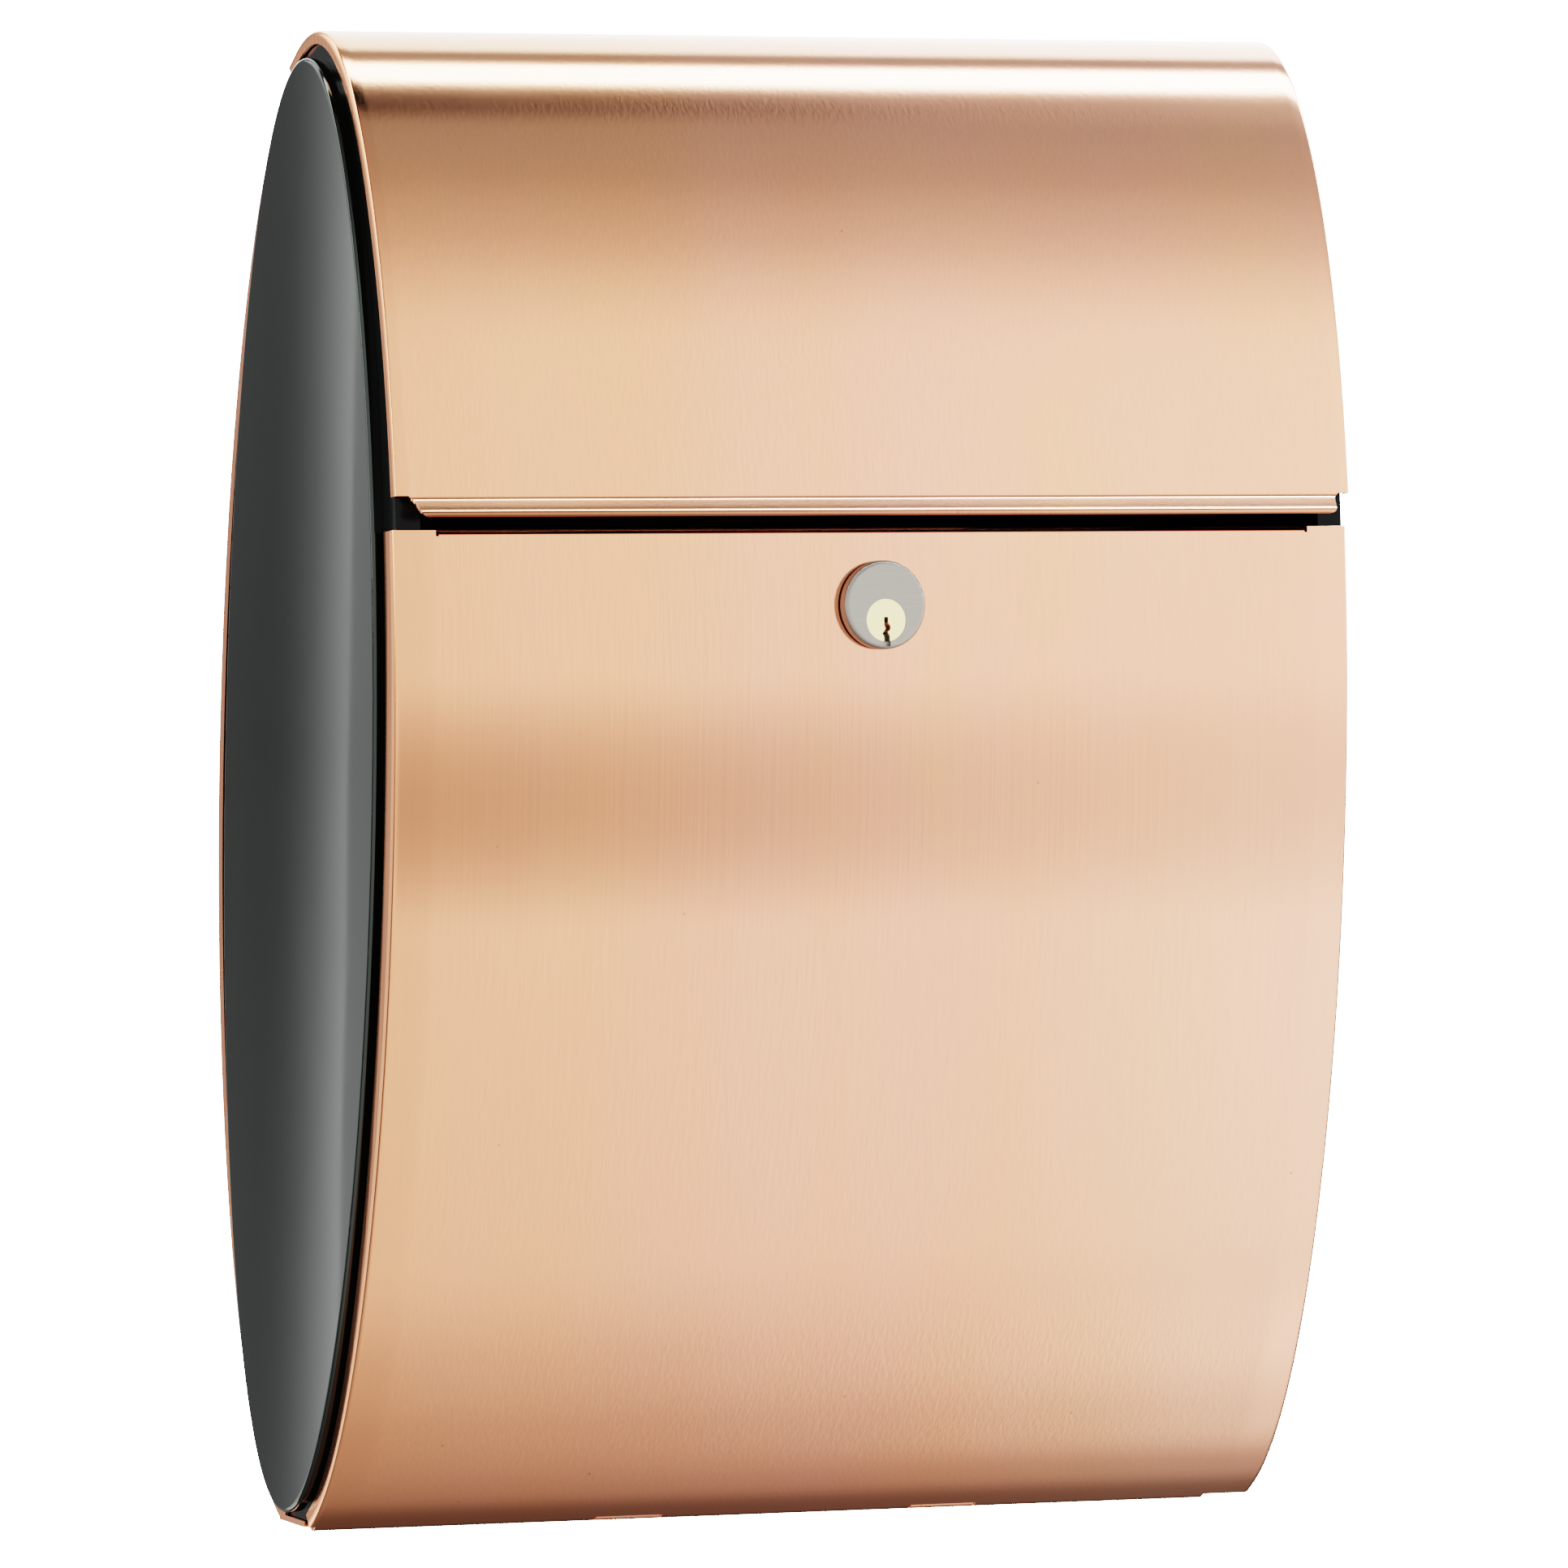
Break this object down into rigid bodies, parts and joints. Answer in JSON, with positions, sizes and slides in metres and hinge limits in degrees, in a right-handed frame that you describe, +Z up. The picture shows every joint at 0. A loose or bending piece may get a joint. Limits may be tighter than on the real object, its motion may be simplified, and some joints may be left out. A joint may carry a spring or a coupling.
{
  "type": "wall mounted mailbox",
  "caption": "Upright oval wall mailbox: copper lid over a mail slot, a bottom-hinged front door with a cam lock, glossy oval side panels and four wall spacers behind.",
  "frame": {"origin": "on the wall's surface, at the centre of the four wall fixing holes", "axes": "+X along the width, +Y into the wall with the front facing -Y, +Z up"},
  "size_m": [0.3062, 0.1415, 0.4292],
  "materials": {
    "copper_sheet": "brushed copper sheet, vertical grain, lacquered",
    "cap_plastic": "black moulded plastic, semi-gloss",
    "panel_gloss": "polished black moulding, faint surface waviness",
    "rail_steel": "black powder coat",
    "zinc_steel": "bright zinc plated",
    "buffer_rubber": "matt black rubber",
    "spacer_plastic": "matt black moulding",
    "lock_nickel": "satin nickel plated",
    "lock_brass": "polished pale brass"
  },
  "bodies": {
    "case": {"back_shell": "copper_sheet", "right_end_cap": "cap_plastic", "left_end_cap": "cap_plastic", "right_side_panel": "panel_gloss", "left_side_panel": "panel_gloss", "slot_rail": "rail_steel", "rear_rail_upper": "rail_steel", "rear_rail_lower": "rail_steel", "top_tie_rod": "rail_steel", "mail_guard": "rail_steel", "guard_rivets": "zinc_steel", "rail_screws": "zinc_steel", "lid_buffers": "buffer_rubber", "door_buffers": "buffer_rubber", "wall_spacers": "spacer_plastic", "lid_hinge_rod": "zinc_steel", "door_hinge_rod": "zinc_steel"},
    "lid": {"lid_shell": "copper_sheet"},
    "door": {"door_shell": "copper_sheet", "lock_body": "lock_nickel", "lock_gasket": "buffer_rubber", "lock_nut": "zinc_steel"},
    "lock_cylinder": {"lock_plug": "lock_brass", "lock_cam": "zinc_steel", "cam_screw": "zinc_steel"}
  },
  "joints": [
    {"name": "lid_hinge", "type": "hinge", "parent": "case", "child": "lid", "pos_m": [0, -0.0466, 0.201], "axis": [-1, 0, 0], "range_deg": [0, 85]},
    {"name": "door_hinge", "type": "hinge", "parent": "case", "child": "door", "pos_m": [0, -0.0803, -0.211], "axis": [1, 0, 0], "range_deg": [0, 115]},
    {"name": "lock_turn", "type": "hinge", "parent": "door", "child": "lock_cylinder", "pos_m": [0, -0.13656, 0.05102], "axis": [0, -0.9964, 0.0847], "range_deg": [0, 90]}
  ]
}
